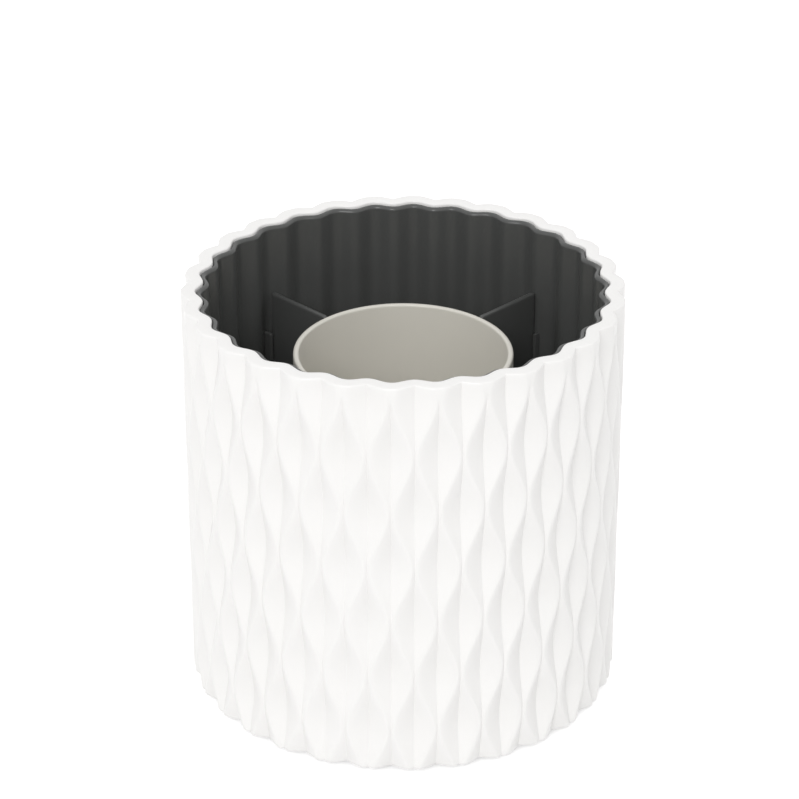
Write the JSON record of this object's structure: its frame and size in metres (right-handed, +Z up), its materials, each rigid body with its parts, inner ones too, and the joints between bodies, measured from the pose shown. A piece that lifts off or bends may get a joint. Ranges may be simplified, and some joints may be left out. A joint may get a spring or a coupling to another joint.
{
  "type": "rotating makeup brush holder",
  "caption": "Round desk holder for makeup brushes. A pleated white drum with a lined inside, partitions and a centre tube turns on a ball race over a footed base.",
  "frame": {"origin": "on the surface that the holder stands on, on the axis that the drum turns about", "axes": "+Z up along the axis of rotation, -Y to the front as pictured, +X to the right"},
  "size_m": [0.135, 0.135, 0.1327],
  "materials": {
    "white_plastic": "satin",
    "dark_plastic": "satin",
    "pale_plastic": "satin",
    "grey_plastic": "moulded",
    "acetal": "smooth",
    "pad_rubber": "matte",
    "ball_steel": "polished",
    "zinc_steel": "zinc plated"
  },
  "bodies": {
    "base": {"base_plate": "grey_plastic", "pivot_bush": "acetal", "anti_slip_pad_1": "pad_rubber", "anti_slip_pad_2": "pad_rubber", "anti_slip_pad_3": "pad_rubber", "anti_slip_pad_4": "pad_rubber"},
    "race": {"ball_cage": "acetal", "ball_1": "ball_steel", "ball_2": "ball_steel", "ball_3": "ball_steel", "ball_4": "ball_steel", "ball_5": "ball_steel", "ball_6": "ball_steel", "ball_7": "ball_steel", "ball_8": "ball_steel", "ball_9": "ball_steel", "ball_10": "ball_steel", "ball_11": "ball_steel", "ball_12": "ball_steel"},
    "drum": {"outer_shell": "white_plastic", "liner": "dark_plastic", "centre_tube": "pale_plastic", "partition_1": "dark_plastic", "partition_2": "dark_plastic", "partition_3": "dark_plastic", "partition_4": "dark_plastic", "rotor_plate": "grey_plastic", "plate_screw_1": "zinc_steel", "plate_screw_2": "zinc_steel", "plate_screw_3": "zinc_steel", "plate_screw_4": "zinc_steel", "pivot_washer": "zinc_steel", "pivot_screw": "zinc_steel"}
  },
  "joints": [
    {"name": "drum_spin", "type": "hinge", "parent": "base", "child": "drum", "pos_m": [0, 0, 0.007], "axis": [0, 0, 1], "continuous": true},
    {"name": "race_spin", "type": "hinge", "parent": "base", "child": "race", "pos_m": [0, 0, 0.007], "axis": [0, 0, 1], "continuous": true}
  ],
  "couplings": [
    {"joint": "race_spin", "follows": "drum_spin", "ratio": 0.5}
  ]
}
